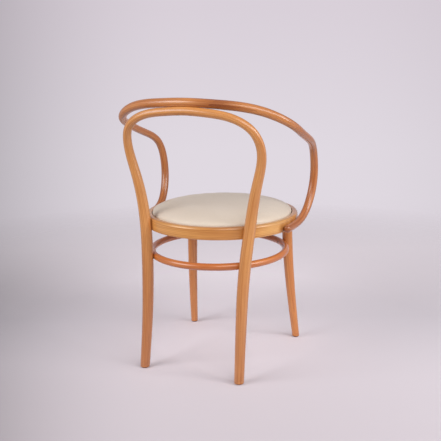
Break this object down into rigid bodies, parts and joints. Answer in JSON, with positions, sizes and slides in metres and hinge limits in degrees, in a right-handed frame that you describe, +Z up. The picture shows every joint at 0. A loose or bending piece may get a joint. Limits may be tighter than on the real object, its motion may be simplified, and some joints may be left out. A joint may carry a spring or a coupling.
{
  "type": "bentwood armchair",
  "caption": "Bentwood armchair with round upholstered seat, hooped back, curved arm rail and round stretcher.",
  "frame": {"origin": "on the floor, under the middle of the whole chair's bounding box", "axes": "+Z up; the chair's front faces -Y and its back is at +Y; +X is to the left of a person who sits in it"},
  "size_m": [0.5415, 0.4541, 0.7599],
  "materials": {
    "beech": "satin lacquer over steam-bent beech, grain along the rod",
    "beech_light": "satin lacquer over steam-bent beech, grain along the rod",
    "beech_red": "satin lacquer over redder steam-bent beech, grain along the rod",
    "beech_ring": "satin lacquer over bent beech, grain round the ring",
    "plywood": "plain birch plywood",
    "foam": "polyurethane foam",
    "cream_leather": "smooth cream leather, soft sheen",
    "zinc_steel": "zinc-plated steel",
    "glide_plastic": "dark polyethylene"
  },
  "bodies": {
    "root": {"back_hoop": "beech", "rail_left": "beech_light", "rail_right": "beech_red", "front_leg_left": "beech", "front_leg_right": "beech", "seat_ring": "beech_ring", "stretcher": "beech_red", "seat_board": "plywood", "seat_foam": "foam", "seat_cover": "cream_leather", "rear_leg_screws": "zinc_steel", "rear_leg_washers": "zinc_steel", "arm_screws": "zinc_steel", "stretcher_screws": "zinc_steel", "hoop_screws": "zinc_steel", "tenon_screws": "zinc_steel", "board_screws": "zinc_steel", "glide_rear_left": "glide_plastic", "glide_rear_right": "glide_plastic", "glide_front_left": "glide_plastic", "glide_front_right": "glide_plastic"}
  },
  "joints": []
}
